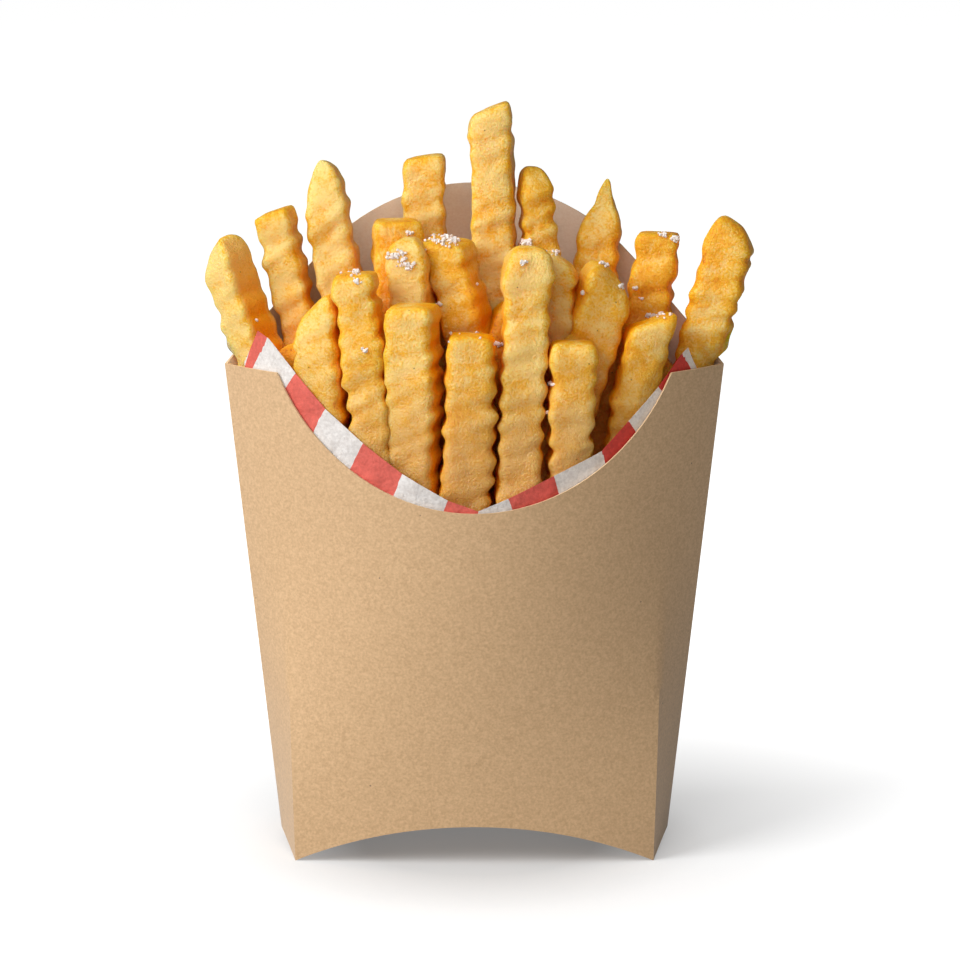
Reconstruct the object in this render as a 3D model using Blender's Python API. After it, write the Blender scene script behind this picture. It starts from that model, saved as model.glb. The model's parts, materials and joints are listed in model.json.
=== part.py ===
"""French fries in a carton of kraft board, with a liner of checked paper.

Metres, +Z up, the scooped front towards -Y, the origin on the ground under the middle of
the whole. The carton's own middle plane is x = 0 until `centre` moves all three solids.
Three solids:
  carton  one folded blank: a bowed front with a scooped edge, a bowed back with a domed
          edge, two side creases, four feet and a vaulted base that stands clear between them
  liner   a sheet of paper inside the front, its upper edge above the scoop
  fries   the heap of crinkle-cut fries as one solid, out to the sticks that stand out of it
"""

import math
import random

import bmesh
import bpy
from mathutils import Matrix, Vector

# Carton: driving dimensions.
CREASE_TOP_X, CREASE_TOP_Z = 0.062, 0.123
CREASE_LOW_X, CREASE_LOW_Z = 0.0492, 0.0035
FOOT_X, FOOT_Y = 0.0448, 0.018
FOLD_SPREAD = 0.03
BASE_BOW = 0.006
PANEL_BOW = 0.027
FADE_LOW_Z, FADE_HIGH_Z = 0.008, 0.085
ARCH_RISE = 0.0105
SCOOP_RADIUS, SCOOP_LOW_Z = 0.0525, 0.0905
SHOULDER_Z = 0.1227
DOME_RADIUS, DOME_TOP_Z = 0.054, 0.165
BOARD = 0.0005

# Column positions run from 0 in the middle of a panel to 1 at its side crease.
FOLD = 0.75
DOME_COLUMN = 0.61
FOLD_CLEAR = 0.015
CREASE_MITRE = 1.35
SLOPE_STEP = 0.0005
SETTLING_ROUNDS = 8

# Heights that the walls, the liner and the heap share, so that they nest.
LEVELS = (0.018, 0.034, 0.050, 0.066, 0.082)

# Liner and heap.
GAP = 0.0003
PAPER = 0.0003
LINER_INSET = BOARD + GAP
HEAP_INSET = LINER_INSET + PAPER + 1.5 * GAP
LINER_EDGE = (
    (-0.0575, 0.1240), (-0.0537, 0.1325), (-0.0510, 0.1308), (-0.0440, 0.1227),
    (-0.0366, 0.1145), (-0.0272, 0.1068), (-0.0176, 0.0998), (-0.0064, 0.0936),
    (0.0010, 0.0910), (0.0082, 0.0940), (0.0194, 0.0992), (0.0313, 0.1046),
    (0.0379, 0.1113), (0.0455, 0.1191), (0.0515, 0.1268), (0.0532, 0.1283),
    (0.0555, 0.1228),
)
CORE_LIFT = 0.0022
CORE_FRONT_Z, CORE_RISE = 0.0855, 0.028
CORE_RIPPLE = 0.0015
RIPPLE_ACROSS, RIPPLE_BACK = 9.0, 7.0
CORE_CAP_STEPS = 4
BURIED = 0.006
RIM_MARGIN = 0.0032
RIM_REACH = 0.003
CREASE_CLEAR = 0.0026
OUTERMOST_COLUMN = 0.97

# Crinkle-cut sticks.
RIDGE_PITCH = 0.0056
RIDGE_HEIGHT = 0.00045
RIDGED_FRONT, RIDGED_BACK = 0.056, 0.032
FRONT_Y = -0.009
PLAIN_STEP = 1.5
# Ranges from which each fry draws: its depth over its width, the slope of its ridges, and
# each ridge's pitch and height over RIDGE_PITCH and RIDGE_HEIGHT.
FLATNESS = (0.92, 1.04)
RIDGE_SLANT = (-0.1, 0.55)
PITCH_SPREAD = (0.8, 1.2)
HEIGHT_SPREAD = (0.35, 1.45)
END_SHAPES = {
    "blunt": ((0.0, 0.86), (0.0010, 0.99), (0.0020, 1.0)),
    "round": ((0.0, 0.48), (0.0014, 0.76), (0.0040, 0.97), (0.0055, 1.0)),
    "knob": ((0.0, 0.58), (0.0012, 0.83), (0.0034, 1.01), (0.0055, 1.07), (0.0120, 1.08),
             (0.0200, 1.0)),
    "leaf": ((0.0, 0.20), (0.0020, 0.52), (0.0046, 0.77), (0.0082, 0.93), (0.0120, 1.0)),
    "cap": ((0.0, 0.88), (0.0016, 0.98), (0.0034, 0.98), (0.0052, 0.89), (0.0085, 1.06),
            (0.0130, 1.05), (0.0170, 1.0)),
    "point": ((0.0, 0.12), (0.0025, 0.28), (0.0060, 0.50), (0.0086, 0.74), (0.0107, 0.84),
              (0.0160, 1.0)),
}
# How far below its end each shape's ridges start.
RIDGE_START = {"blunt": 0.0013, "round": 0.0040, "knob": 0.0056, "leaf": 0.0060,
               "cap": 0.0085, "point": 0.0107}

# One line for each fry, in millimetres and degrees: the middle of its upper end (x, y, z),
# how far it leans right and back, its width as seen from the front, its turn, how steeply
# its end rises to the right, how far its middle bows right, and the shape of its end.
FRIES = (
    (-62.6, 1.6, 153.2, -19.0, 1.0, 14.0, -38.0, 0.60, -0.8, "round"),
    (-49.7, 6.0, 160.1, -11.0, 0.0, 10.6, -12.0, 0.20, 0.5, "blunt"),
    (-38.6, 10.0, 171.8, -13.5, 4.0, 11.8, -4.0, 0.70, -1.8, "leaf"),
    (-12.9, 17.0, 172.6, -0.5, 2.0, 10.2, 0.0, 0.15, 0.3, "blunt"),
    (-19.2, 5.0, 158.2, 0.0, 1.0, 13.4, 8.0, 0.00, 0.0, "blunt"),
    (3.8, 8.5, 185.6, -1.2, 1.0, 11.2, -4.0, 0.36, 0.5, "blunt"),
    (14.8, 8.5, 170.8, -3.5, 2.0, 9.6, 6.0, -0.20, 0.4, "round"),
    (-16.2, -5.5, 155.0, -2.0, 0.0, 12.2, -14.0, 0.05, 0.2, "round"),
    (-15.0, -17.0, 140.2, 0.0, 0.0, 14.2, -15.0, 0.00, 0.3, "blunt"),
    (-6.9, -3.5, 154.2, -15.0, -2.0, 13.4, -18.0, -0.35, -0.6, "blunt"),
    (33.2, 14.5, 167.0, 5.5, 2.0, 11.4, -4.0, 0.20, -1.0, "point"),
    (46.0, 6.0, 154.8, 3.0, 2.0, 12.2, -6.0, 0.02, -1.8, "cap"),
    (64.2, 1.0, 158.2, 15.5, 0.0, 12.4, -8.0, -0.35, 0.8, "round"),
    (13.2, -13.5, 154.0, 2.6, 5.0, 11.0, 2.0, 0.00, 0.3, "knob"),
    (20.2, -5.5, 150.8, 1.0, 0.0, 11.0, -8.0, -0.45, 0.0, "round"),
    (33.5, -5.5, 146.8, 17.0, 0.0, 14.6, 8.0, -0.55, 0.0, "round"),
    (43.8, -8.6, 135.4, 9.0, 2.0, 12.0, 4.0, 0.50, -1.2, "blunt"),
    (24.0, -16.0, 131.0, 2.0, 1.0, 11.5, 3.0, 0.00, 0.4, "blunt"),
    (-0.7, -18.0, 133.0, 2.2, 0.5, 11.8, 0.0, -0.04, 0.3, "blunt"),
    (-29.3, -13.5, 147.5, -5.5, 3.0, 11.8, -8.0, -0.02, 0.6, "blunt"),
    (-38.2, -10.5, 139.8, -2.5, 1.0, 14.0, -16.0, 0.85, 0.0, "round"),
)
# Fries deeper in the heap, of which little more than the ends show.
DEEPER_FRIES = (
    (3.6, 20.0, 151.0, 1.0, 0.0, 11.4, 8.0, 0.20, 0.0, "blunt"),
    (-27.5, 18.0, 137.5, -6.0, 1.0, 11.2, 18.0, -0.30, 0.0, "round"),
    (21.0, 20.0, 138.5, 3.0, 0.0, 11.0, -12.0, 0.10, 0.0, "blunt"),
    (9.5, -1.5, 139.0, 4.0, 0.0, 11.6, 5.0, 0.25, 0.0, "round"),
    (-8.0, 8.0, 142.0, 2.0, 1.0, 11.0, -6.0, 0.00, 0.0, "blunt"),
    (-33.0, -1.0, 130.0, -9.0, 0.0, 11.6, -8.0, 0.20, 0.0, "blunt"),
    (45.5, -1.5, 125.5, 9.0, 0.0, 10.8, 20.0, -0.10, 0.0, "round"),
    (34.5, 4.0, 132.0, 6.0, 1.0, 11.4, -10.0, 0.00, 0.0, "blunt"),
    (-45.5, -3.0, 128.0, -10.0, 0.0, 10.8, -22.0, 0.15, 0.0, "round"),
    (24.0, 8.0, 134.0, 2.0, 0.0, 11.2, 12.0, 0.10, 0.0, "blunt"),
)
MM = 0.001

# Finishes: colour, roughness.
KRAFT = ("kraft board", (0.62, 0.43, 0.26), 0.85)
CHECKED = ("checked paper", (0.78, 0.45, 0.42), 0.70)
GOLDEN = ("fried potato", (0.80, 0.50, 0.12), 0.50)


def smoothstep(value):
    """Ease from 0 to 1, flat at both ends."""
    value = min(1.0, max(0.0, value))
    return value * value * (3.0 - 2.0 * value)


def mix(start, end, share):
    """The value this share of the way from start to end."""
    return start + (end - start) * share


def along(stations, place):
    """The value at a place on a line through stations of (place, value)."""
    for (start, low), (end, high) in zip(stations, stations[1:]):
        if place <= end:
            return mix(low, high, max(0.0, place - start) / (end - start))
    return stations[-1][1]


def arc_radius(half_chord, rise):
    """Radius of the arc over a chord."""
    return (half_chord ** 2 + rise ** 2) / (2.0 * rise)


def crease_x(z):
    """Half the width of the carton at a height, out to its side crease."""
    share = (z - CREASE_LOW_Z) / (CREASE_TOP_Z - CREASE_LOW_Z)
    return mix(CREASE_LOW_X, CREASE_TOP_X, share)


def across(column, z):
    """x of a column of a panel at a height: the fold above a foot lies at column FOLD."""
    fold_x = FOOT_X + FOLD_SPREAD * z
    if abs(column) <= FOLD:
        return fold_x * column / FOLD
    share = (abs(column) - FOLD) / (1.0 - FOLD)
    return math.copysign(mix(fold_x, crease_x(z), share), column)


def depth(column, z):
    """How far a panel stands from the middle plane: boxy at the feet, round higher up."""
    radius = arc_radius(crease_x(z), PANEL_BOW)
    rounded = math.sqrt(radius ** 2 - across(column, z) ** 2) - (radius - PANEL_BOW)
    if abs(column) <= FOLD:
        boxy = FOOT_Y + BASE_BOW * (1.0 - (column / FOLD) ** 2)
    else:
        boxy = FOOT_Y * (1.0 - abs(column)) / (1.0 - FOLD)
    return mix(boxy, rounded, smoothstep((z - FADE_LOW_Z) / (FADE_HIGH_Z - FADE_LOW_Z)))


def wall(column, z, side, inset=0.0):
    """A point of the front (side -1) or back (side 1) panel, moved inwards by an inset."""
    if abs(column) == 1.0:
        return Vector((math.copysign(crease_x(z) - CREASE_MITRE * inset, column), 0.0, z))
    left, right = column - SLOPE_STEP, column + SLOPE_STEP
    run = across(right, z) - across(left, z)
    rise = depth(right, z) - depth(left, z)
    inwards = Vector((rise, -run)).normalized() * inset
    return Vector((across(column, z) + inwards.x, side * (depth(column, z) + inwards.y), z))


def settle(column, edge, start):
    """Height at which a column meets an edge that is given as a height over x."""
    z = start
    for _ in range(SETTLING_ROUNDS):
        z = edge(across(column, z))
    return z


def scoop_z(column):
    """Height of the front panel's cut edge: an arc between two level shoulders."""
    if abs(column) >= FOLD:
        return mix(SHOULDER_Z, CREASE_TOP_Z, (abs(column) - FOLD) / (1.0 - FOLD))
    centre_z = SCOOP_LOW_Z + SCOOP_RADIUS

    def arc(x):
        return min(SHOULDER_Z, centre_z - math.sqrt(SCOOP_RADIUS ** 2 - x ** 2))

    return settle(column, arc, SCOOP_LOW_Z)


def dome_z(column):
    """Height of the back panel's cut edge: an arc with straight flanks down to the creases."""
    centre_z = DOME_TOP_Z - DOME_RADIUS
    reach = math.hypot(CREASE_TOP_X, CREASE_TOP_Z - centre_z)
    angle = math.atan2(CREASE_TOP_Z - centre_z, CREASE_TOP_X) + math.acos(DOME_RADIUS / reach)
    touch_x = DOME_RADIUS * math.cos(angle)
    touch_z = centre_z + DOME_RADIUS * math.sin(angle)

    def edge(x):
        if abs(x) <= touch_x:
            return centre_z + math.sqrt(DOME_RADIUS ** 2 - x ** 2)
        return mix(touch_z, CREASE_TOP_Z, (abs(x) - touch_x) / (CREASE_TOP_X - touch_x))

    return settle(column, edge, CREASE_TOP_Z)


def base_z(column):
    """Height of the lower edge and of the base: an arch between the feet, rising again
    from each foot to the lower end of the crease."""
    radius = arc_radius(FOOT_X, ARCH_RISE)
    slope = CREASE_LOW_Z / (CREASE_LOW_X - FOOT_X)

    def edge(x):
        if abs(x) <= FOOT_X:
            return math.sqrt(radius ** 2 - x ** 2) - (radius - ARCH_RISE)
        return slope * (abs(x) - FOOT_X)

    return settle(column, edge, 0.0)


def panel_columns():
    """The columns of a panel from crease to crease, closer together at its corners."""
    half = []
    for start, end, steps in ((0.0, DOME_COLUMN, 8), (DOME_COLUMN, FOLD, 3), (FOLD, 1.0, 4)):
        half += [mix(start, end, step / steps) for step in range(steps)]
    half.append(1.0)
    return [-column for column in reversed(half[1:])] + half


def ring_places():
    """Columns and sides once round the carton, from the left crease along the front."""
    columns = panel_columns()
    front = [(column, -1) for column in columns]
    back = [(column, 1) for column in reversed(columns[1:-1])]
    return front + back


def new_material(finish):
    """A Principled material of one colour."""
    name, colour, roughness = finish
    material = bpy.data.materials.new(name)
    material.use_nodes = True
    shader = material.node_tree.nodes["Principled BSDF"]
    shader.inputs["Base Color"].default_value = (*colour, 1.0)
    shader.inputs["Roughness"].default_value = roughness
    shader.inputs["Metallic"].default_value = 0.0
    return material


def new_object(name, mesh_builder, material):
    """An object with the closed mesh in the builder, its faces pointing out."""
    bmesh.ops.recalc_face_normals(mesh_builder, faces=mesh_builder.faces)
    mesh = bpy.data.meshes.new(name)
    mesh_builder.to_mesh(mesh)
    mesh_builder.free()
    mesh.materials.append(material)
    created = bpy.data.objects.new(name, mesh)
    bpy.context.scene.collection.objects.link(created)
    return created


def add_points(builder, points):
    """New vertices at the points."""
    return [builder.verts.new(point) for point in points]


def add_band(builder, lower, upper, closed):
    """Triangles between two rows of vertices, round a ring or along a strip, all split
    along the same diagonal so that neighbouring skins nest."""
    count = len(lower)
    for index in range(count if closed else count - 1):
        after = (index + 1) % count
        for corners in ((lower[index], lower[after], upper[after]),
                        (lower[index], upper[after], upper[index])):
            if len(set(corners)) == 3:
                builder.faces.new(corners)


def add_floor(builder, ring, cap_rows=()):
    """Close a ring with strips from its front to its back, through the rows between them."""
    columns = (len(ring) + 2) // 2
    front = ring[:columns]
    back = [ring[0]] + list(reversed(ring[columns:])) + [ring[columns - 1]]
    rows = [front] + [[ring[0]] + row + [ring[columns - 1]] for row in cap_rows] + [back]
    for near, far in zip(rows, rows[1:]):
        add_band(builder, near, far, closed=False)


def wall_rings(builder, top, inset, floor_lift):
    """Rings of vertices up the walls, from the base to an upper edge."""
    stacks = []
    for column, side in ring_places():
        heights = (base_z(column) + floor_lift, *LEVELS, top(column, side))
        stacks.append([wall(column, z, side, inset) for z in heights])
    rings = [add_points(builder, points) for points in zip(*stacks)]
    for lower, upper in zip(rings, rings[1:]):
        add_band(builder, lower, upper, closed=True)
    return rings


def carton_edge(column, side):
    """Height of the carton's upper edge."""
    return scoop_z(column) if side < 0 else dome_z(column)


def make_carton():
    """The folded board: outer and inner skins, joined along the cut edge."""
    builder = bmesh.new()
    outer = wall_rings(builder, carton_edge, 0.0, 0.0)
    inner = wall_rings(builder, carton_edge, BOARD, BOARD)
    add_band(builder, outer[-1], inner[-1], closed=True)
    add_floor(builder, outer[0])
    add_floor(builder, inner[0])
    return new_object("carton", builder, new_material(KRAFT))


def column_at(x, z):
    """The column of a panel that runs through x at a height."""
    fold_x = FOOT_X + FOLD_SPREAD * z
    if abs(x) <= fold_x:
        return FOLD * x / fold_x
    share = (abs(x) - fold_x) / (crease_x(z) - fold_x)
    return math.copysign(FOLD + (1.0 - FOLD) * share, x)


def liner_top(x):
    """Height of the liner's edge at x, level beyond its ends."""
    for (left, left_z), (right, right_z) in zip(LINER_EDGE, LINER_EDGE[1:]):
        if left <= x <= right:
            return mix(left_z, right_z, (x - left) / (right - left))
    return LINER_EDGE[0][1] if x < 0.0 else LINER_EDGE[-1][1]


def liner_columns():
    """The liner's columns: at the corners of its edge, half way between, and at the folds."""
    corners = [column_at(x, z) for x, z in LINER_EDGE]
    halves = [(left + right) / 2.0 for left, right in zip(corners, corners[1:])]
    apart = [column for column in corners + halves if abs(abs(column) - FOLD) > FOLD_CLEAR]
    return sorted(apart + [-FOLD, FOLD])


def make_liner():
    """The paper sheet: two skins a paper's thickness apart, closed all round."""
    builder = bmesh.new()
    skins = []
    for inset in (LINER_INSET, LINER_INSET + PAPER):
        stacks = []
        for column in liner_columns():
            heights = (*LEVELS, settle(column, liner_top, LEVELS[-1]))
            stacks.append([wall(column, z, -1, inset) for z in heights])
        rows = [add_points(builder, points) for points in zip(*stacks)]
        for lower, upper in zip(rows, rows[1:]):
            add_band(builder, lower, upper, closed=False)
        skins.append(rows)
    outer, inner = skins
    add_band(builder, outer[0], inner[0], closed=False)
    add_band(builder, outer[-1], inner[-1], closed=False)
    for end in (0, -1):
        add_band(builder, [row[end] for row in outer], [row[end] for row in inner], closed=False)
    return new_object("liner", builder, new_material(CHECKED))


def heap_z(column, share):
    """Height of the packed heap, from the front wall (share 0) to the back wall (share 1)."""
    ripple = CORE_RIPPLE * math.sin(RIPPLE_ACROSS * column + RIPPLE_BACK * share)
    return CORE_FRONT_Z + CORE_RISE * math.sin(share * math.pi / 2.0) + ripple


def core_edge(column, side):
    """Height of the packed heap at the front or the back wall."""
    if abs(column) == 1.0:
        return heap_z(column, 0.5)
    return heap_z(column, 0.0 if side < 0 else 1.0)


def make_core():
    """The packed lower part of the heap, an inset away from the walls and the base."""
    builder = bmesh.new()
    rings = wall_rings(builder, core_edge, HEAP_INSET, CORE_LIFT)
    add_floor(builder, rings[0])
    cap_rows = []
    for step in range(1, CORE_CAP_STEPS):
        share = step / CORE_CAP_STEPS
        points = []
        for column in panel_columns()[1:-1]:
            point = wall(column, core_edge(column, -1), -1, HEAP_INSET)
            point.y *= 1.0 - 2.0 * share
            point.z = heap_z(column, share)
            points.append(point)
        cap_rows.append(add_points(builder, points))
    add_floor(builder, rings[-1], cap_rows)
    return new_object("fries", builder, new_material(GOLDEN))


def rim_z(point, side, column):
    """Height of the wall or the liner beside a point, and just to its left and right."""
    if side > 0:
        return dome_z(max(0.0, abs(column) - RIM_REACH / crease_x(point.z)))
    nearby = [liner_top(point.x + aside) for aside in (-RIM_REACH, 0.0, RIM_REACH)]
    return max(scoop_z(column), *nearby)


def press(point):
    """Move a point that would lie in the walls or the liner back against them. Above their
    edges it may stand out as far as it stands over them."""
    over = max(0.0, point.z - CREASE_TOP_Z - RIM_MARGIN)
    limit_x = crease_x(point.z) - CREASE_CLEAR + over
    point.x = min(limit_x, max(-limit_x, point.x))
    outer_x = across(OUTERMOST_COLUMN, point.z)
    column = column_at(min(outer_x, max(-outer_x, point.x)), point.z)
    side = -1 if point.y < 0.0 else 1
    over = max(0.0, point.z - rim_z(point, side, column) - RIM_MARGIN)
    tilt = (depth(column, point.z) - depth(column + SLOPE_STEP, point.z)) / (
        across(column + SLOPE_STEP, point.z) - across(column, point.z))
    reach = depth(column, point.z) - HEAP_INSET * math.hypot(1.0, tilt) + over
    point.y = side * min(abs(point.y), reach)
    return point


def buried_z(tip, axis):
    """Height at which a stick's lower end is well inside the packed heap."""
    z = CORE_FRONT_Z + CORE_RISE / 2.0
    for _ in range(SETTLING_ROUNDS):
        place = tip + axis * ((z - tip.z) / axis.z)
        column = max(-FOLD, min(FOLD, column_at(place.x, z)))
        reach = depth(column, z)
        share = max(0.0, min(1.0, (place.y + reach) / (2.0 * reach)))
        z = heap_z(column, share) - BURIED
    return z


def make_stick(number, fry, ridged):
    """One fry as a closed solid, from inside the heap to its upper end, crinkled over
    its upper part."""
    x, y, z, lean_right, lean_back, width, turn, end_rise, bow, end = fry
    chance = random.Random(number)
    tip = Vector((x, y, z)) * MM
    axis = Vector((math.tan(math.radians(lean_right)), math.tan(math.radians(lean_back)), 1.0))
    axis.normalize()
    length = (tip.z - buried_z(tip, axis)) / axis.z
    turned = math.radians(turn)
    wide = Vector((math.cos(turned), math.sin(turned), 0.0))
    wide = (wide - axis * wide.dot(axis)).normalized()
    deep = axis.cross(wide)
    flatness = chance.uniform(*FLATNESS)
    half_wide = width * MM / 2.0 / (abs(math.cos(turned)) + flatness * abs(math.sin(turned)))
    half_deep = half_wide * flatness
    ridge_slant = chance.uniform(*RIDGE_SLANT)

    shape, drop, ridge = END_SHAPES[end], RIDGE_START[end], 1.0
    stations = [(place, scale, 0.0) for place, scale in shape if place <= drop]
    while drop < ridged:
        drop += RIDGE_PITCH / 2.0 * chance.uniform(*PITCH_SPREAD)
        height = RIDGE_HEIGHT * chance.uniform(*HEIGHT_SPREAD)
        stations.append((drop, along(shape, drop), ridge * height))
        ridge = -ridge
    while drop < length:
        drop += PLAIN_STEP * RIDGE_PITCH
        stations.append((drop, along(shape, drop), 0.0))
    stations = [station for station in stations if station[0] < length - RIDGE_PITCH / 4.0]
    stations.append((length, 1.0, 0.0))

    builder = bmesh.new()
    rings = []
    for drop, scale, relief in stations:
        share = max(0.0, 1.0 - drop / (2.0 * half_wide))
        tilt = mix(ridge_slant, end_rise, share)
        sway = bow * MM * math.sin(math.pi * drop / length)
        middle = tip - axis * drop + wide * sway
        points = []
        for sign_wide, sign_deep in ((-1, -1), (1, -1), (1, 1), (-1, 1)):
            aside = sign_wide * (half_wide * scale + relief)
            behind = sign_deep * (half_deep * scale + relief)
            point = middle + wide * aside + deep * behind + axis * (tilt * aside)
            points.append(press(point))
        rings.append(add_points(builder, points))
    for upper, lower in zip(rings, rings[1:]):
        add_band(builder, upper, lower, closed=True)
    builder.faces.new(rings[0])
    builder.faces.new(rings[-1])
    return new_object(f"stick_{number:02d}", builder, bpy.data.materials[GOLDEN[0]])


def join_sticks(heap, sticks):
    """Unite the sticks with the heap into one solid, with no pocket closed off inside."""
    group = bpy.data.collections.new("sticks")
    bpy.context.scene.collection.children.link(group)
    for stick in sticks:
        bpy.context.scene.collection.objects.unlink(stick)
        group.objects.link(stick)
    union = heap.modifiers.new("sticks", "BOOLEAN")
    union.operation = "UNION"
    union.operand_type = "COLLECTION"
    union.collection = group
    union.solver = "EXACT"
    bpy.context.view_layer.update()
    united = heap.evaluated_get(bpy.context.evaluated_depsgraph_get())
    builder = bmesh.new()
    builder.from_mesh(united.to_mesh())
    keep_outer_skin(builder)
    heap.modifiers.remove(union)
    builder.to_mesh(heap.data)
    builder.free()
    for stick in sticks:
        bpy.data.objects.remove(stick)
    bpy.data.collections.remove(group)


def keep_outer_skin(builder):
    """Delete the small closed skins of pockets between sticks, which leaves them filled."""
    unseen = set(builder.verts)
    skins = []
    while unseen:
        front = [unseen.pop()]
        skin = list(front)
        while front:
            for edge in front.pop().link_edges:
                for vert in edge.verts:
                    if vert in unseen:
                        unseen.remove(vert)
                        front.append(vert)
                        skin.append(vert)
        skins.append(skin)
    skins.sort(key=len)
    pockets = [vert for skin in skins[:-1] for vert in skin]
    bmesh.ops.delete(builder, geom=pockets, context="VERTS")


def make_fries():
    """The heap: its packed core and every stick that stands out of it."""
    heap = make_core()
    sticks = []
    for number, fry in enumerate(FRIES + DEEPER_FRIES):
        ridged = RIDGED_FRONT if fry[1] * MM < FRONT_Y else RIDGED_BACK
        sticks.append(make_stick(number, fry, ridged if fry in FRIES else 0.0))
    join_sticks(heap, sticks)
    return heap


def centre(solids):
    """Move the solids together until their common box is centred on x = 0."""
    reach = [vert.co.x for solid in solids for vert in solid.data.vertices]
    aside = Matrix.Translation((-(min(reach) + max(reach)) / 2.0, 0.0, 0.0))
    for solid in solids:
        solid.data.transform(aside)


def main():
    for item in list(bpy.data.objects):
        bpy.data.objects.remove(item)
    centre([make_carton(), make_liner(), make_fries()])


main()
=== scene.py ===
"""French fries in a carton of kraft board, with a liner of checked paper and coarse salt.

Metres, +Z up, the scooped front towards -Y. Each piece is shaped about the carton's own
middle plane and then moved to where the frame has the carton.
"""

import json
import math
import random

import bpy
from bpy.props import FloatProperty, FloatVectorProperty, IntProperty, PointerProperty
from mathutils import Euler, Matrix, Vector, noise
from mathutils.bvhtree import BVHTree

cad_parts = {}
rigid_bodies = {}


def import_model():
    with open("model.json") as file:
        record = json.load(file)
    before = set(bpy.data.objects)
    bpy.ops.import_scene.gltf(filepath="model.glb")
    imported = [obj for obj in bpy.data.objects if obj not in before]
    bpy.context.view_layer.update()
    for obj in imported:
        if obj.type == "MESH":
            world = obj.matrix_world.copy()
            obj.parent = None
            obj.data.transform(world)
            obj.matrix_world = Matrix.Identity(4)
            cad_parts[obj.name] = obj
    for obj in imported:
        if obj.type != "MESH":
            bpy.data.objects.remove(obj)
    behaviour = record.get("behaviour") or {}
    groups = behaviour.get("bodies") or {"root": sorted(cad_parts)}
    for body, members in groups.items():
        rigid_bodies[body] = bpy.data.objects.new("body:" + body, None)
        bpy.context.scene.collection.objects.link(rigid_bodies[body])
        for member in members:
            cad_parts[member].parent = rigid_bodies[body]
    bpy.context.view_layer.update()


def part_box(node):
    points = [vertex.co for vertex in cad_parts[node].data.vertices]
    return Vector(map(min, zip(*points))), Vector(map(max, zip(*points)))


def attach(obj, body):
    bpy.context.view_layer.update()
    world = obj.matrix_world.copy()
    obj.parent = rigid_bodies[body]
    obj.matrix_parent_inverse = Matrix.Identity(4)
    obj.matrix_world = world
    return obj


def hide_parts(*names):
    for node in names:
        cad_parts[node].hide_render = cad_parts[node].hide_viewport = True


bl_info = {
    "name": "French fries in a carton",
    "version": (1, 0, 0),
    "blender": (4, 5, 0),
    "location": "3D View > Sidebar > Fries",
    "description": "Builds crinkle-cut fries in a kraft board carton with a checked liner",
    "category": "Object",
}

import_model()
CARTON_LOW, CARTON_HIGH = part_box("carton")
MIDDLE_X = (CARTON_LOW.x + CARTON_HIGH.x) / 2.0

MM = 0.001
WELD = 1e-6
# Degrees between two faces from which their edge is sharp.
SHARP_FROM = {"carton": 32.0, "liner": 40.0, "fries": 180.0}

# Carton, in metres: the side creases, the feet and the fold above each, how far the base
# and the panels bow, and the heights between which a boxy foot fades into a round panel.
CREASE_TOP_X, CREASE_TOP_Z = 0.062, 0.123
CREASE_LOW_X, CREASE_LOW_Z = 0.0492, 0.0035
FOOT_X, FOOT_Y, FOLD_SPREAD = 0.0448, 0.018, 0.03
BASE_BOW, PANEL_BOW = 0.006, 0.027
FADE_LOW_Z, FADE_HIGH_Z = 0.008, 0.085
ARCH_RISE = 0.0105
SCOOP_RADIUS, SCOOP_LOW_Z, SHOULDER_Z = 0.0525, 0.0905, 0.1227
DOME_RADIUS, DOME_TOP_Z = 0.054, 0.165
# The columns of a panel run from -1 at the left crease to 1 at the right one.
FOLD, DOME_COLUMN, OUTERMOST_COLUMN = 0.75, 0.61, 0.97
CREASE_MITRE = 1.35
SLOPE_STEP = 0.0005
SETTLING_ROUNDS = 8
CARTON_STEPS, WALL_ROWS, BASE_ROWS = (14, 5, 6), 36, 4

# Liner: its edge as (x, z), the check, the paper's ripple and one fold, and between which
# places in x its right part is painted: the paper warmer with painted bounce light from the
# fries, the check darker with painted shade.
GAP = 0.0003
BOARD_SPACE, PAPER_SPACE, PAPER_ROOM = 0.0005, 0.0003, 0.00008
LINER_INSET = BOARD_SPACE + GAP
LINER_LOW_Z = 0.018
LINER_EDGE = (
    (-0.0575, 0.1240), (-0.0537, 0.1325), (-0.0510, 0.1308), (-0.0440, 0.1227),
    (-0.0366, 0.1145), (-0.0272, 0.1068), (-0.0176, 0.0998), (-0.0064, 0.0936),
    (0.0010, 0.0910), (0.0082, 0.0940), (0.0194, 0.0992), (0.0313, 0.1046),
    (0.0379, 0.1113), (0.0455, 0.1191), (0.0515, 0.1268), (0.0532, 0.1283),
    (0.0555, 0.1228),
)
LINER_STEPS, LINER_ROWS = 6, 60
CHECK_SIZE, CHECK_SKEW = 0.012, 0.14
LINER_FREE = 0.003
LINER_RIPPLE, LINER_RIPPLE_SCALE = 0.0005, 70.0
LINER_FOLD_X, LINER_FOLD_HALF, LINER_FOLD_HEIGHT = -0.0132, 0.0007, 0.0003
PAINTED_BOUNCE_FROM_TO = (0.004, 0.034)

# Heap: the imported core's top, how deep fries reach into it, and how far they keep from the
# walls, the rims and the creases.
HEAP_INSET = LINER_INSET + PAPER_SPACE + 1.5 * GAP
CORE_LIFT, CORE_FRONT_Z, CORE_RISE, CORE_SINK = 0.0022, 0.0855, 0.028, 0.009
CORE_RIPPLE, RIPPLE_ACROSS, RIPPLE_BACK = 0.0015, 9.0, 7.0
CORE_STEPS, CORE_ROWS, CORE_CAP_ROWS = (14, 3, 4), 12, 10
CORE_LUMP, CORE_LUMP_SCALE = 0.006, 90.0
CORE_FRIED = 0.85
BURIED = 0.006
RIM_MARGIN, RIM_REACH, CREASE_CLEAR = 0.0008, 0.003, 0.0026

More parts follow.
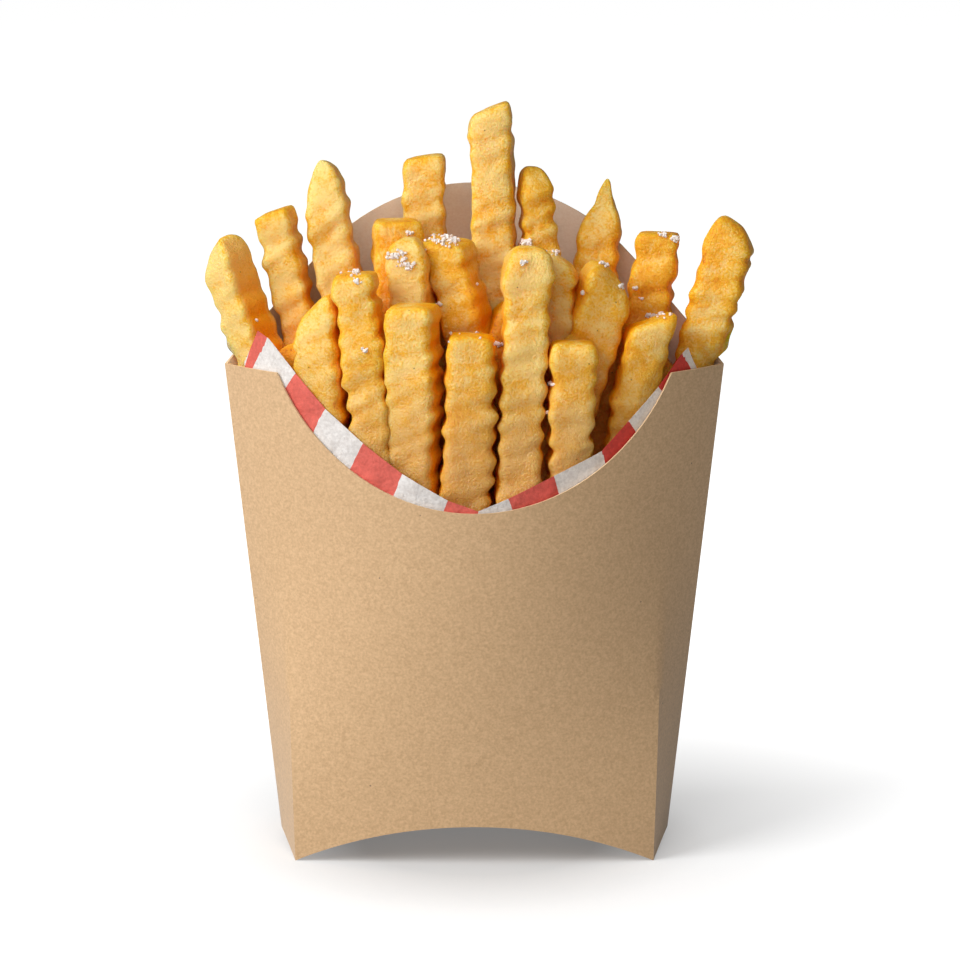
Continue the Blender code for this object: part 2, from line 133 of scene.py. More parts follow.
# Crinkle-cut fries: grids, ridges, and how much each fry differs from the next.
AROUND, CAP_ROWS, ROW_STEP = 40, 5, 0.0007
CROWN = 0.0004
RIDGE_PITCH = 0.0056
FLATNESS, RIDGE_SLANT = (0.92, 1.04), (-0.1, 0.55)
PITCH_SPREAD, HEIGHT_SPREAD = (0.8, 1.2), (0.35, 1.45)
CORNER_SPREAD, FACE_SPREAD, SIDE_SPREAD = (0.85, 1.2), (0.7, 1.3), (0.7, 1.25)
# From so many millimetres up, ridges show more on the faces too.
STANDING_LOW, STANDING_RISE = 140.0, 30.0
FACE_LOW, FACE_STANDING = 0.8, 2.4
# How much swellings and lumps stand out, and how many there are in a metre.
SWELL, SWELL_SCALE = 0.08, 60.0
STEADY, UNSTEADY, UNSTEADY_SCALE = 0.95, 0.5, 90.0
LUMP, LUMP_SCALE = 0.0008, 160.0
PIMPLE, PIMPLE_SCALE = 0.00030, 400.0
SMOOTHING = {"factor": 0.5, "iterations": 2}

# What each vertex of the potato stores for the finish, and where it starts and fades.
WORN = ("fried", "edge", "ridge", "low", "side", "inner")
END_REACH, RIM_SHARPNESS = 0.0018, 1.4
EDGE_START, EDGE_FADE = 0.70, 0.25
# Flanks are tinted bright orange, a painted glow of light through the potato, fullest lower in the
# heap.
FLANK_START, FLANK_FADE, FLANK_OUTSIDE = 0.95, 0.35, 0.2
# Lower parts are tinted duller and browner, partly painted shade low in the carton.
LOW_START_Z, LOW_FADE = 0.134, 0.038
INSIDE_START_Z, INSIDE_FADE = 0.158, 0.024
# Deep between the fries, low in the heap and back from the front wall, they are tinted red: a
# painted glow of light scattered in their shade.
GAP_GLOW_START_Z, GAP_GLOW_FADE = 0.142, 0.024
GAP_GLOW_NEAR, GAP_GLOW_FAR = 0.005, 0.017

# Salt: the way it is met from the front, from how far, and where it doesn't stay. Then how
# many crystals lie loose, and how the crystals differ.
SALT_DROP, SALT_HEIGHT = Vector((0.0, 0.98, -0.2)), 0.08
SALT_LOW_Z, SALT_HIGH_Z, SALT_STEEPEST = 0.100, 0.1575, -0.05
SALT_LOOSE, SALT_LOOSE_Z, SALT_REACH = 30, 140.0, (66.0, 24.0)
SALT_RICHNESS, SALT_ACROSS, SALT_UP = 3.3, 1.0 / 2.2, 1.0 / 3.5
SALT_SIZES, SALT_SIDES, SALT_LIFT, SALT_BEVEL = (0.5, 1.6), (0.7, 1.2), 0.3, 0.14

# Stage, in metres and degrees.
FLOOR_SIZE = 16.0
LIT_PLACE = Vector((0.0, 0.0, 0.09))
KEY_PLACE, KEY_SIZE = (-1.01, -0.56, 0.86), 0.8
FILL_PLACE, FILL_SIZE = (-0.10, -0.90, 1.10), 0.9
# The floor's camera-only glow: weakest under the carton and weaker beside it, a painted shadow,
# and rising outwards over its cast shadow, painted light.
PAINTED_SHADOW_SPREAD, GLOW_SPREAD = (0.03, 0.06, 0.38, 1.0), (0.06, 0.15)
BACKDROP = 0.97
CAMERA_TARGET = Vector((0.0014, 0.0, 0.0935))
CAMERA_ELEVATION, CAMERA_DISTANCE = 11.5, 0.9
CAMERA_LENS, CAMERA_SENSOR = 135.0, 36.0

# The ends of fries: how wide they are at distances below the tip, as a share of the fry,
# and where the ridges start.
END_SHAPES = {
    "blunt": ((0.0, 0.84), (0.0004, 0.93), (0.0010, 0.98), (0.0020, 1.0)),
    "round": ((0.0, 0.42), (0.0006, 0.58), (0.0016, 0.76), (0.0030, 0.89), (0.0055, 1.0)),
    "leaf": ((0.0, 0.16), (0.0006, 0.28), (0.0020, 0.50), (0.0046, 0.76), (0.0082, 0.93),
             (0.0120, 1.0)),
    "knob": ((0.0, 0.56), (0.0006, 0.72), (0.0016, 0.88), (0.0032, 1.00), (0.0055, 1.07),
             (0.0120, 1.08), (0.0200, 1.0)),
    "cap": ((0.0, 0.86), (0.0006, 0.93), (0.0016, 0.98), (0.0034, 0.98), (0.0052, 0.89),
            (0.0085, 1.06), (0.0130, 1.05), (0.0170, 1.0)),
    "point": ((0.0, 0.10), (0.0006, 0.16), (0.0025, 0.27), (0.0060, 0.48), (0.0086, 0.74),
              (0.0107, 0.84), (0.0160, 1.0)),
}
END_START = {"blunt": 0.0013, "round": 0.0040, "knob": 0.0056, "leaf": 0.0060, "cap": 0.0085,
             "point": 0.0107}

# One line for each fry, in millimetres and degrees: the middle of its upper end (x, y, z),
# how far it leans right and back, its width as seen from the front, its turn, how steeply
# its end rises to the right, how far its middle bows right, the shape of its end, and how
# dark it is fried.
FRIES = (
    (-62.6, 1.6, 153.2, -19.0, 1.0, 14.0, -38.0, 0.60, -0.8, "round", 0.04),
    (-49.7, 6.0, 160.1, -11.0, 0.0, 10.6, -12.0, 0.20, 0.5, "blunt", 0.15),
    (-38.6, 10.0, 171.8, -13.5, 4.0, 11.8, -4.0, 0.70, -1.8, "leaf", 0.03),
    (-12.9, 17.0, 172.6, -0.5, 2.0, 10.2, 0.0, 0.15, 0.3, "blunt", 0.17),
    (-19.2, 5.0, 158.2, 0.0, 1.0, 13.4, 8.0, 0.00, 0.0, "blunt", 0.31),
    (3.8, 8.5, 185.6, -1.2, 1.0, 11.2, -4.0, 0.36, 0.5, "blunt", 0.12),
    (14.8, 8.5, 170.8, -3.5, 2.0, 9.6, 6.0, -0.20, 0.4, "round", 0.34),
    (-16.2, -5.5, 155.0, -2.0, 0.0, 12.2, -14.0, 0.05, 0.2, "round", 0.10),
    (-15.0, -17.0, 140.2, 0.0, 0.0, 14.2, -15.0, 0.00, 0.3, "blunt", 0.19),
    (-6.9, -3.5, 154.2, -15.0, -2.0, 13.4, -18.0, -0.35, -0.6, "blunt", 0.28),
    (33.2, 14.5, 167.0, 5.5, 2.0, 11.4, -4.0, 0.20, -1.0, "point", 0.26),
    (46.0, 6.0, 154.8, 3.0, 2.0, 12.2, -6.0, 0.02, -1.8, "cap", 0.47),
    (64.2, 1.0, 158.2, 15.5, 0.0, 12.4, -8.0, -0.35, 0.8, "round", 0.37),
    (13.2, -13.5, 154.0, 2.6, 5.0, 11.0, 2.0, 0.00, 0.3, "knob", 0.17),
    (20.2, -5.5, 150.8, 1.0, 0.0, 11.0, -8.0, -0.45, 0.0, "round", 0.16),
    (33.5, -5.5, 146.8, 17.0, 0.0, 14.6, 8.0, -0.55, 0.0, "round", 0.36),
    (43.8, -8.6, 135.4, 9.0, 2.0, 12.0, 4.0, 0.50, -1.2, "blunt", 0.34),
    (24.0, -16.0, 131.0, 2.0, 1.0, 11.5, 3.0, 0.00, 0.4, "blunt", 0.22),
    (-0.7, -18.0, 133.0, 2.2, 0.5, 11.8, 0.0, -0.04, 0.3, "blunt", 0.31),
    (-29.3, -13.5, 147.5, -5.5, 3.0, 11.8, -8.0, -0.02, 0.6, "blunt", 0.29),
    (-38.2, -10.5, 139.8, -2.5, 1.0, 14.0, -16.0, 0.85, 0.0, "round", 0.26),
)
# Fries deeper in the heap, of which little more than the ends show.
DEEPER_FRIES = (
    (3.6, 20.0, 151.0, 1.0, 0.0, 11.4, 8.0, 0.20, 0.0, "blunt", 0.45),
    (-27.5, 18.0, 137.5, -6.0, 1.0, 11.2, 18.0, -0.30, 0.0, "round", 0.50),
    (21.0, 20.0, 138.5, 3.0, 0.0, 11.0, -12.0, 0.10, 0.0, "blunt", 0.60),
    (9.5, -1.5, 139.0, 4.0, 0.0, 11.6, 5.0, 0.25, 0.0, "round", 0.55),
    (-8.0, 8.0, 142.0, 2.0, 1.0, 11.0, -6.0, 0.00, 0.0, "blunt", 0.45),
    (-33.0, -1.0, 130.0, -9.0, 0.0, 11.6, -8.0, 0.20, 0.0, "blunt", 0.50),
    (45.5, -1.5, 125.5, 9.0, 0.0, 10.8, 20.0, -0.10, 0.0, "round", 0.60),
    (34.5, 4.0, 132.0, 6.0, 1.0, 11.4, -10.0, 0.00, 0.0, "blunt", 0.50),
    (-45.5, -3.0, 128.0, -10.0, 0.0, 10.8, -22.0, 0.15, 0.0, "round", 0.45),
    (24.0, 8.0, 134.0, 2.0, 0.0, 11.2, 12.0, 0.10, 0.0, "blunt", 0.60),
)
PALE_BELOW, BROWNED_ABOVE = 0.21, 0.30
# Where salt lies: x and z in millimetres as met from the front, how far it spreads and how
# many crystals.
SALT_SPOTS = (
    (-15.7, 155.6, 1.0, 3), (-8.4, 153.9, 4.0, 15), (-5.4, 153.3, 1.6, 10),
    (12.7, 153.4, 1.7, 10), (12.2, 152.2, 1.4, 4), (19.6, 150.9, 2.0, 4),
    (-19.1, 149.4, 2.0, 9), (-16.6, 146.8, 2.6, 10), (11.8, 147.1, 1.2, 3),
    (32.1, 147.9, 1.5, 7), (35.8, 142.0, 1.0, 4), (39.9, 141.5, 1.1, 4),
    (41.1, 139.4, 0.8, 2), (-1.6, 131.3, 1.7, 8), (5.9, 127.5, 1.3, 5),
    (-8.6, 137.7, 0.8, 2), (-6.6, 127.5, 0.8, 2), (18.9, 117.3, 0.8, 3),
    (-28.8, 144.9, 1.6, 10), (-32.4, 145.9, 1.8, 4), (-28.4, 142.5, 1.0, 4),
    (-49.1, 134.7, 0.7, 2), (-26.3, 125.6, 0.7, 3), (46.6, 155.5, 1.2, 4),
    (49.6, 154.0, 1.5, 5), (43.9, 135.1, 1.1, 4), (45.6, 135.3, 2.2, 3),
    (26.6, 140.2, 0.8, 1),
)


def clamp(value, low=0.0, high=1.0):
    """The value, kept between low and high."""
    return min(high, max(low, value))


def smoothstep(value):
    """Ease from 0 to 1, flat at both ends."""
    value = clamp(value)
    return value * value * (3.0 - 2.0 * value)


def mix(start, end, share):
    """The value this share of the way from start to end."""
    return start + (end - start) * share


def along(stations, place, ease=float):
    """The value at a place on a line through stations of (place, value), level beyond it."""
    for (start, low), (end, high) in zip(stations, stations[1:]):
        if place <= end:
            return mix(low, high, ease(max(0.0, place - start) / (end - start)))
    return stations[-1][1]


# The carton's form.

def arc_radius(half_chord, rise):
    """Radius of the arc over a chord."""
    return (half_chord ** 2 + rise ** 2) / (2.0 * rise)


def crease_x(z):
    """Half the width of the carton at a height, out to its side crease."""
    share = (z - CREASE_LOW_Z) / (CREASE_TOP_Z - CREASE_LOW_Z)
    return mix(CREASE_LOW_X, CREASE_TOP_X, share)


def across(column, z):
    """x of a column of a panel at a height: the fold above a foot lies at column FOLD."""
    fold_x = FOOT_X + FOLD_SPREAD * z
    if abs(column) <= FOLD:
        return fold_x * column / FOLD
    share = (abs(column) - FOLD) / (1.0 - FOLD)
    return math.copysign(mix(fold_x, crease_x(z), share), column)


def column_at(x, z):
    """The column of a panel that runs through x at a height."""
    fold_x = FOOT_X + FOLD_SPREAD * z
    if abs(x) <= fold_x:
        return FOLD * x / fold_x
    share = (abs(x) - fold_x) / (crease_x(z) - fold_x)
    return math.copysign(FOLD + (1.0 - FOLD) * share, x)


def depth(column, z):
    """How far a panel stands from the middle plane: boxy at the feet, round higher up."""
    radius = arc_radius(crease_x(z), PANEL_BOW)
    rounded = math.sqrt(radius ** 2 - across(column, z) ** 2) - (radius - PANEL_BOW)
    if abs(column) <= FOLD:
        boxy = FOOT_Y + BASE_BOW * (1.0 - (column / FOLD) ** 2)
    else:
        boxy = FOOT_Y * (1.0 - abs(column)) / (1.0 - FOLD)
    return mix(boxy, rounded, smoothstep((z - FADE_LOW_Z) / (FADE_HIGH_Z - FADE_LOW_Z)))


def wall(column, z, side, inset=0.0):
    """A point of the front (side -1) or back (side 1) panel, moved inwards by an inset."""
    if abs(column) == 1.0:
        return Vector((math.copysign(crease_x(z) - CREASE_MITRE * inset, column), 0.0, z))
    left, right = column - SLOPE_STEP, column + SLOPE_STEP
    run = across(right, z) - across(left, z)
    rise = depth(right, z) - depth(left, z)
    inwards = Vector((rise, -run)).normalized() * inset
    return Vector((across(column, z) + inwards.x, side * (depth(column, z) + inwards.y), z))


def settle(column, edge, start):
    """Height at which a column meets an edge that is given as a height over x."""
    z = start
    for _ in range(SETTLING_ROUNDS):
        z = edge(across(column, z))
    return z


def scoop_z(column):
    """Height of the front panel's cut edge: an arc between two level shoulders."""
    if abs(column) >= FOLD:
        return mix(SHOULDER_Z, CREASE_TOP_Z, (abs(column) - FOLD) / (1.0 - FOLD))
    centre_z = SCOOP_LOW_Z + SCOOP_RADIUS

    def arc(x):
        return min(SHOULDER_Z, centre_z - math.sqrt(SCOOP_RADIUS ** 2 - x ** 2))

    return settle(column, arc, SCOOP_LOW_Z)


def dome_z(column):
    """Height of the back panel's cut edge: an arc with straight flanks down to the creases."""
    centre_z = DOME_TOP_Z - DOME_RADIUS
    reach = math.hypot(CREASE_TOP_X, CREASE_TOP_Z - centre_z)
    angle = math.atan2(CREASE_TOP_Z - centre_z, CREASE_TOP_X) + math.acos(DOME_RADIUS / reach)
    touch_x = DOME_RADIUS * math.cos(angle)
    touch_z = centre_z + DOME_RADIUS * math.sin(angle)

    def edge(x):
        if abs(x) <= touch_x:
            return centre_z + math.sqrt(DOME_RADIUS ** 2 - x ** 2)
        return mix(touch_z, CREASE_TOP_Z, (abs(x) - touch_x) / (CREASE_TOP_X - touch_x))

    return settle(column, edge, CREASE_TOP_Z)


def base_z(column):
    """Height of the lower edge and of the base: an arch between the feet, rising again
    from each foot to the lower end of the crease."""
    radius = arc_radius(FOOT_X, ARCH_RISE)
    slope = CREASE_LOW_Z / (CREASE_LOW_X - FOOT_X)

    def edge(x):
        if abs(x) <= FOOT_X:
            return math.sqrt(radius ** 2 - x ** 2) - (radius - ARCH_RISE)
        return slope * (abs(x) - FOOT_X)

    return settle(column, edge, 0.0)


def ring_places(steps):
    """Columns and sides once round the carton, from the left crease along the front.
    Steps are how many columns lie from the middle to the dome's flank, from there to the
    fold, just beside the fold and from there to the crease."""
    flank, fold, crease = steps
    half = [mix(0.0, DOME_COLUMN, step / flank) for step in range(flank)]
    half += [mix(DOME_COLUMN, FOLD, step / fold) for step in range(fold)]
    half += [mix(FOLD, 1.0, step / crease) for step in range(crease)]
    half += [1.0]
    columns = [-column for column in reversed(half[1:])] + half
    front = [(column, -1) for column in columns]
    back = [(column, 1) for column in reversed(columns[:-1])]
    return front + back


# Work with meshes.

def deselect():
    """Select nothing, since solids and earlier pieces may still be selected."""
    bpy.ops.object.select_all(action="DESELECT")


def only(*pieces):
    """Select these pieces alone and make the first the active one."""
    deselect()
    for piece in pieces:
        piece.select_set(True)
    bpy.context.view_layer.objects.active = pieces[0]


def shape_grid(name, columns, rows, place):
    """A grid of so many faces across and up, each vertex at the place of its column and row."""
    deselect()
    bpy.ops.mesh.primitive_grid_add(x_subdivisions=columns, y_subdivisions=rows, size=1.0)
    piece = bpy.context.object
    piece.name = piece.data.name = name
    for vertex in piece.data.vertices:
        column = round((vertex.co.x + 0.5) * columns)
        row = round((vertex.co.y + 0.5) * rows)
        vertex.co = place(column, row)
    return piece


def join(name, pieces):
    """Join pieces into the first of them."""
    only(*pieces)
    bpy.ops.object.join()
    pieces[0].name = pieces[0].data.name = name


def coat(piece, *materials):
    """Give the piece these materials and no others."""
    piece.data.materials.clear()
    for material in materials:
        piece.data.materials.append(material)


def set_worn(piece, name, numbers):
    """Store a number for each vertex under a name that the finishes read."""
    piece.data.attributes.new(name, "FLOAT", "POINT").data.foreach_set("value", numbers)


def weld(piece):
    """Join the grid's seam and poles and point its faces outwards."""
    only(piece)
    bpy.ops.object.mode_set(mode="EDIT")
    bpy.ops.mesh.select_all(action="SELECT")
    bpy.ops.mesh.remove_doubles(threshold=WELD)
    bpy.ops.mesh.dissolve_degenerate(threshold=WELD)
    bpy.ops.mesh.normals_make_consistent(inside=False)
    bpy.ops.object.mode_set(mode="OBJECT")


def add_modifier(piece, kind, **values):
    """Add a modifier, set its values and apply it."""
    only(piece)
    bpy.ops.object.modifier_add(type=kind)
    modifier = piece.modifiers[-1]
    for name, value in values.items():
        setattr(modifier, name, value)
    bpy.ops.object.modifier_apply(modifier=modifier.name)


def finish_piece(piece, replaced):
    """Smooth the shading, move the piece to the carton's place and let it ride."""
    only(piece)
    bpy.ops.object.shade_smooth_by_angle(angle=math.radians(SHARP_FROM[replaced]))
    piece.data.transform(Matrix.Translation((MIDDLE_X, 0.0, 0.0)))
    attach(piece, "root")
    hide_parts(replaced)


# Pieces.

def fold_carton(settings):
    """The carton: a grid wrapped round from the middle of the base to the cut edge, then
    given the board's thickness."""
    places = ring_places(CARTON_STEPS)

    def place(column, row):
        share, side = places[column]
        low = base_z(share)
        if row < BASE_ROWS:
            point = wall(share, low, side)
            point.y *= row / BASE_ROWS
            return point
        top = scoop_z(share) if side < 0 else dome_z(share)
        return wall(share, mix(low, top, (row - BASE_ROWS) / WALL_ROWS), side)

    piece = shape_grid("carton_board", len(places) - 1, BASE_ROWS + WALL_ROWS, place)
    weld(piece)
    coat(piece, kraft_board(settings), cut_board(settings), kraft_board(settings, inside=True))
    add_modifier(piece, "SOLIDIFY", thickness=settings.board, offset=-1.0, use_even_offset=True,
                 use_quality_normals=True, material_offset=2, material_offset_rim=1)
    finish_piece(piece, "carton")


def liner_top(x):
    """Height of the liner's edge at x."""
    return along(LINER_EDGE, x)


def unrolled(x, z):
    """A place on the liner as if the sheet lay flat."""
    radius = arc_radius(crease_x(z), PANEL_BOW)
    return Vector((radius * math.asin(clamp(x / radius, -1.0)), z))


def check_place(point):
    """Where a point of the liner lies in the check: cells along the edge and below it."""
    spot = unrolled(point.x, point.z)
    corners = [unrolled(x, z) for x, z in LINER_EDGE[1:-1]]
    best = None
    for cell, (start, end) in enumerate(zip(corners, corners[1:])):
        run = end - start
        share = clamp((spot - start).dot(run) / run.length_squared)
        foot = start + run * share
        away = (spot - foot).length
        if best is None or away < best[0]:
            lean = CHECK_SKEW * away / CHECK_SIZE * math.copysign(1.0, point.x)
            best = (away, cell + share + lean)
    return best[1], best[0] / CHECK_SIZE


def lay_liner(settings):
    """The liner: a sheet bowed with the front panel, with a slight ripple and one fold."""
    corners = [column_at(x, z) for x, z in LINER_EDGE]
    shares = [mix(left, right, step / LINER_STEPS)
              for left, right in zip(corners, corners[1:]) for step in range(LINER_STEPS)]
    shares.append(corners[-1])

    def place(column, row):
        share = shares[column]
        top = settle(share, liner_top, SCOOP_LOW_Z)
        z = mix(LINER_LOW_Z, top, row / LINER_ROWS)
        x = across(share, z)
        above = smoothstep((z - scoop_z(share)) / LINER_FREE)
        ripple = noise.noise(Vector((x, 0.0, z)) * LINER_RIPPLE_SCALE) * LINER_RIPPLE
        ridge = math.exp(-((x - LINER_FOLD_X) / LINER_FOLD_HALF) ** 2) * LINER_FOLD_HEIGHT
        return wall(share, z, -1, LINER_INSET + PAPER_ROOM + above * (ripple - ridge))

    piece = shape_grid("paper_liner", len(shares) - 1, LINER_ROWS, place)
    weld(piece)
    coat(piece, checked_paper(settings))
    add_modifier(piece, "SOLIDIFY", thickness=settings.sheet, offset=-1.0, use_even_offset=True)
    uv_map = piece.data.uv_layers.active or piece.data.uv_layers.new(name="checks")
    uv_map.name = "checks"
    for loop in piece.data.loops:
        uv_map.data[loop.index].uv = check_place(piece.data.vertices[loop.vertex_index].co)
    finish_piece(piece, "liner")


def heap_z(column, share):
    """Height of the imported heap, from the front wall (share 0) to the back wall (share 1)."""
    ripple = CORE_RIPPLE * math.sin(RIPPLE_ACROSS * column + RIPPLE_BACK * share)
    return CORE_FRONT_Z + CORE_RISE * math.sin(share * math.pi / 2.0) + ripple


def pack_core(settings):
    """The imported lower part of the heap, of which only shaded lumps show between the fries."""
    places = ring_places(CORE_STEPS)
    rows = BASE_ROWS + CORE_ROWS + CORE_CAP_ROWS

    def place(column, row):
        share, side = places[column]
        low = base_z(share) + CORE_LIFT
        edge = 0.5 if abs(share) == 1.0 else (0.0 if side < 0 else 1.0)
        top = heap_z(share, edge) - CORE_SINK
        if row <= BASE_ROWS:
            point = wall(share, low, side, HEAP_INSET)
            point.y *= row / BASE_ROWS
        elif row <= BASE_ROWS + CORE_ROWS:
            height = (row - BASE_ROWS) / CORE_ROWS
            point = wall(share, mix(low, top, height), side, HEAP_INSET)
        else:
            inwards = (row - BASE_ROWS - CORE_ROWS) / CORE_CAP_ROWS
            point = wall(share, top, side, HEAP_INSET)
            middle = wall(share, heap_z(share, 0.5) - CORE_SINK, side, HEAP_INSET)
            point.x = mix(point.x, middle.x, inwards)
            point.y *= 1.0 - inwards
            point.z = heap_z(share, mix(edge, 0.5, inwards)) - CORE_SINK
            point.z += CORE_LUMP * noise.noise(point * CORE_LUMP_SCALE) * smoothstep(3.0 * inwards)
        return point

    piece = shape_grid("fries_core", len(places) - 1, rows, place)
    weld(piece)
    for name in WORN:
        # The core is dark fried and takes the painted red gap glow in full.
        value = {"fried": CORE_FRIED, "inner": 1.0}.get(name, 0.0)
        set_worn(piece, name, [value] * len(piece.data.vertices))
    coat(piece, fried_potato(settings))
    finish_piece(piece, "fries")


def rim_z(point, side, column):
    """Height of the wall or the liner beside a point, and just to its left and right."""
    if side > 0:
        return dome_z(max(0.0, abs(column) - RIM_REACH / crease_x(point.z)))
    nearby = [liner_top(point.x + aside) for aside in (-RIM_REACH, 0.0, RIM_REACH)]
    return max(scoop_z(column), *nearby)


def inner_column(point):
    """The column of a panel beside a point, kept just clear of the creases."""
    outer_x = across(OUTERMOST_COLUMN, point.z)
    return column_at(clamp(point.x, -outer_x, outer_x), point.z)


def press(point):
    """Move a point that would lie in the walls or the liner back against them. Above their
    edges it may stand out as far as it stands over them."""
    over = max(0.0, point.z - CREASE_TOP_Z - RIM_MARGIN)
    limit_x = crease_x(point.z) - CREASE_CLEAR + over
    point.x = clamp(point.x, -limit_x, limit_x)
    column = inner_column(point)
    side = -1 if point.y < 0.0 else 1
    reach = depth(column, point.z)
    if abs(point.y) < reach - 2.0 * HEAP_INSET:
        return point
    over = max(0.0, point.z - rim_z(point, side, column) - RIM_MARGIN)
    beside = column + SLOPE_STEP
    tilt = (reach - depth(beside, point.z)) / (across(beside, point.z) - across(column, point.z))
    reach += over - HEAP_INSET * math.hypot(1.0, tilt)
    point.y = side * min(abs(point.y), reach)
    return point


def buried_z(tip, axis):
    """Height at which a fry's lower end is well inside the heap."""
    z = CORE_FRONT_Z + CORE_RISE / 2.0
    for _ in range(SETTLING_ROUNDS):
        place = tip + axis * ((z - tip.z) / axis.z)
        column = clamp(column_at(place.x, z), -FOLD, FOLD)
        reach = depth(column, z)
        share = clamp((place.y + reach) / (2.0 * reach))
        z = heap_z(column, share) - BURIED
    return z


def section(share, corner):
    """A point of a unit square with rounded corners, going once round it."""
    quarter, within = divmod(share * 4.0, 1.0)
    straight, arc = 1.0 - corner, math.pi * corner / 2.0
    run = within * (2.0 * straight + arc)
    if run < straight:
        point = Vector((1.0, run))
    elif run < straight + arc:
        angle = (run - straight) / corner
        point = Vector((straight + corner * math.cos(angle), straight + corner * math.sin(angle)))
    else:
        point = Vector((2.0 * straight + arc - run, 1.0))
    point.rotate(Matrix.Rotation(quarter * math.pi / 2.0, 2))
    return point


def cut_fry(number, fry, settings):
    """One fry: a grid wrapped into a stick with rounded corners, a shaped upper end and
    ridges across it, pressed back where it meets a wall."""
    x, y, z, lean_right, lean_back, width, turn, end_rise, bow, end, fried = fry
    chance, character = random.Random(number), random.Random(number + len(FRIES) * 10)
    tip = Vector((x, y, z)) * MM
    axis = Vector((math.tan(math.radians(lean_right)), math.tan(math.radians(lean_back)), 1.0))
    axis.normalize()
    buried = (tip.z - buried_z(tip, axis)) / axis.z
    length = buried + CORE_SINK
    turned = math.radians(turn)
    wide = Vector((math.cos(turned), math.sin(turned), 0.0))
    wide = (wide - axis * wide.dot(axis)).normalized()
    deep = axis.cross(wide)
    flatness = chance.uniform(*FLATNESS)
    half_wide = width * MM / 2.0 / (abs(math.cos(turned)) + flatness * abs(math.sin(turned)))
    half_deep = half_wide * flatness
    slant = chance.uniform(*RIDGE_SLANT)

    crest = END_START[end]
    waves = [(0.0, 0.0), (crest, 0.0)]
    side = 1.0
    while crest < length + RIDGE_PITCH:
        crest += RIDGE_PITCH / 2.0 * chance.uniform(*PITCH_SPREAD)
        waves.append((crest, side * settings.ridge_height * chance.uniform(*HEIGHT_SPREAD)))
        side = -side

    corner = settings.corner_radius / half_wide * character.uniform(*CORNER_SPREAD)
    seed = Vector((character.uniform(-9.0, 9.0), character.uniform(-9.0, 9.0), number * 3.0))
    standing = smoothstep((z - STANDING_LOW) / STANDING_RISE)
    face_relief = settings.face_relief * character.uniform(*FACE_SPREAD) * mix(
        FACE_LOW, FACE_STANDING, standing)
    left_share, right_share = character.uniform(*SIDE_SPREAD), character.uniform(*SIDE_SPREAD)
    rows = CAP_ROWS + math.ceil(length / ROW_STEP) + 1
    worn = {name: [] for name in WORN}

    def uneven(spot):
        return noise.noise(spot + seed)

    def place(column, row):
        if row <= CAP_ROWS:
            inwards = row / CAP_ROWS
            drop, scale = CROWN * (inwards ** 2 - 1.0), END_SHAPES[end][0][1] * inwards
        else:
            drop = min(length, (row - CAP_ROWS) * ROW_STEP)
            scale = along(END_SHAPES[end], drop) if row < rows else 0.0
        scale *= 1.0 + SWELL * uneven(Vector((0.0, 0.0, drop * SWELL_SCALE)))
        below = max(0.0, drop)
        relief = along(waves, below, smoothstep) * min(1.0, scale)
        tilt = mix(slant, end_rise, max(0.0, 1.0 - below / (2.0 * half_wide)))
        sway = bow * MM * math.sin(math.pi * clamp(drop / buried))
        spot = section(column / AROUND, corner)
        relief *= STEADY + UNSTEADY * uneven(Vector((4.0, 0.0, drop * UNSTEADY_SCALE)))
        side_relief = relief * (left_share if spot.x < 0.0 else right_share)
        aside = spot.x * (half_wide * scale + side_relief)
        behind = spot.y * (half_deep * scale + relief * face_relief)
        point = tip - axis * (drop - tilt * aside) + wide * (sway + aside) + deep * behind
        outwards = wide * spot.x + deep * spot.y
        lump = uneven(point * LUMP_SCALE) * LUMP + uneven(point * PIMPLE_SCALE) * PIMPLE
        point += outwards * (lump * min(1.0, scale * 2.0))
        near_corner = smoothstep((min(abs(spot.x), abs(spot.y)) - EDGE_START) / EDGE_FADE)
        near_end = smoothstep(1.0 - drop / END_REACH) * smoothstep(scale * RIM_SHARPNESS)
        worn["fried"].append(fried)
        worn["edge"].append(max(near_corner, near_end))
        worn["ridge"].append(relief / settings.ridge_height)
        # Lower parts: duller and browner, partly painted shade low in the carton.
        worn["low"].append(smoothstep((LOW_START_Z - point.z) / LOW_FADE))
        # The flanks' painted orange glow, fuller lower in the heap.
        inside = smoothstep((INSIDE_START_Z - point.z) / INSIDE_FADE)
        flank = smoothstep((FLANK_START - abs(spot.y)) / FLANK_FADE)
        worn["side"].append(flank * mix(FLANK_OUTSIDE, 1.0, inside))
        point = press(point)
        share = (point.y + depth(inner_column(point), point.z) - GAP_GLOW_NEAR) / (
            GAP_GLOW_FAR - GAP_GLOW_NEAR)
        # The painted red glow deep between the fries.
        sunk = smoothstep((GAP_GLOW_START_Z - point.z) / GAP_GLOW_FADE)
        worn["inner"].append(sunk * smoothstep(share))
        return point

    piece = shape_grid(f"fry_{number:02d}", AROUND, rows, place)
    for name, numbers in worn.items():
        set_worn(piece, name, numbers)
    weld(piece)
    add_modifier(piece, "SMOOTH", **SMOOTHING)
    return piece


def fill_carton(settings):
    """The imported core, and every fry that shows, joined by how it is fried."""
    pack_core(settings)
    kinds = {"fries_pale": [], "fries_golden": [], "fries_browned": [], "fries_deeper": []}
    for number, fry in enumerate(FRIES + DEEPER_FRIES):
        kind = "fries_pale" if fry[-1] < PALE_BELOW else "fries_golden"
        kind = "fries_browned" if fry[-1] > BROWNED_ABOVE else kind
        kind = "fries_deeper" if number >= len(FRIES) else kind
        kinds[kind].append(cut_fry(number, fry, settings))
    for name, sticks in kinds.items():
        join(name, sticks)
        coat(sticks[0], fried_potato(settings))
        finish_piece(sticks[0], "fries")


